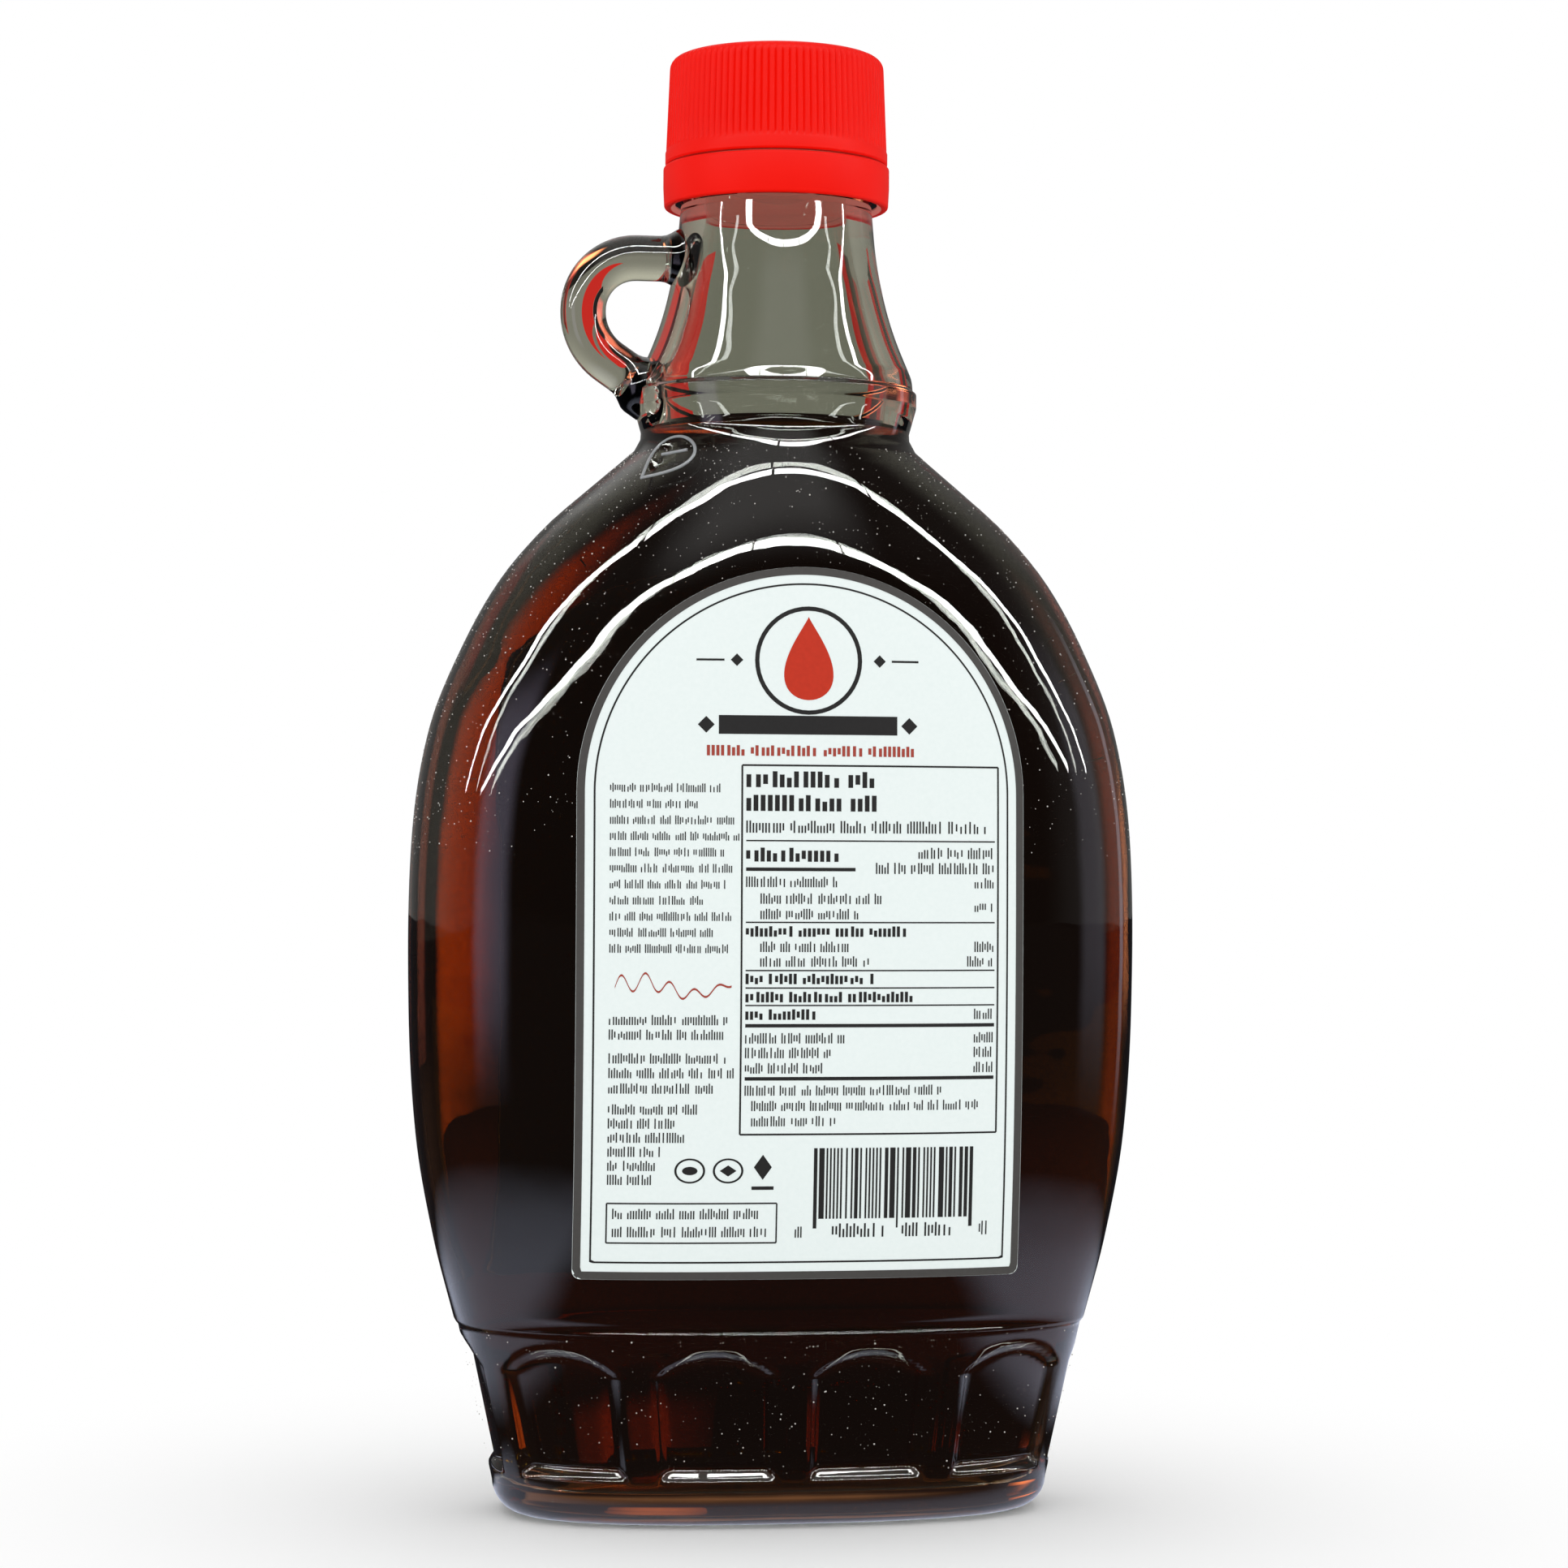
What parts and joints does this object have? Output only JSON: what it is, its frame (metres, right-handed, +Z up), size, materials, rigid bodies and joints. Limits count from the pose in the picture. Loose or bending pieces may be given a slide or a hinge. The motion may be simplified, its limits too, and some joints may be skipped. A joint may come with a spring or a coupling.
{
  "type": "maple syrup bottle",
  "caption": "Flat-sided handled glass flask of maple syrup with a fluted base, a finger loop on its neck, a ribbed red screw cap over a tamper ring and an arched paper label on each face.",
  "frame": {"origin": "middle of the resting face, on the axis of the neck", "axes": "+Z up the bottle, +X along its broad side away from the finger loop, -Y out of the near label"},
  "size_m": [0.1087, 0.0554, 0.217],
  "materials": {
    "clear_glass": "clear moulded soda-lime glass, glossy",
    "syrup": "dark brown translucent liquid, a solid that stands in for the syrup",
    "red_plastic": "satin moulded polypropylene",
    "label_paper": "coated white paper, low sheen"
  },
  "bodies": {
    "root": {"bottle_glass": "clear_glass", "maple_syrup": "syrup", "screw_cap": "red_plastic", "tamper_ring": "red_plastic", "label_near": "label_paper", "label_far": "label_paper"}
  },
  "joints": []
}
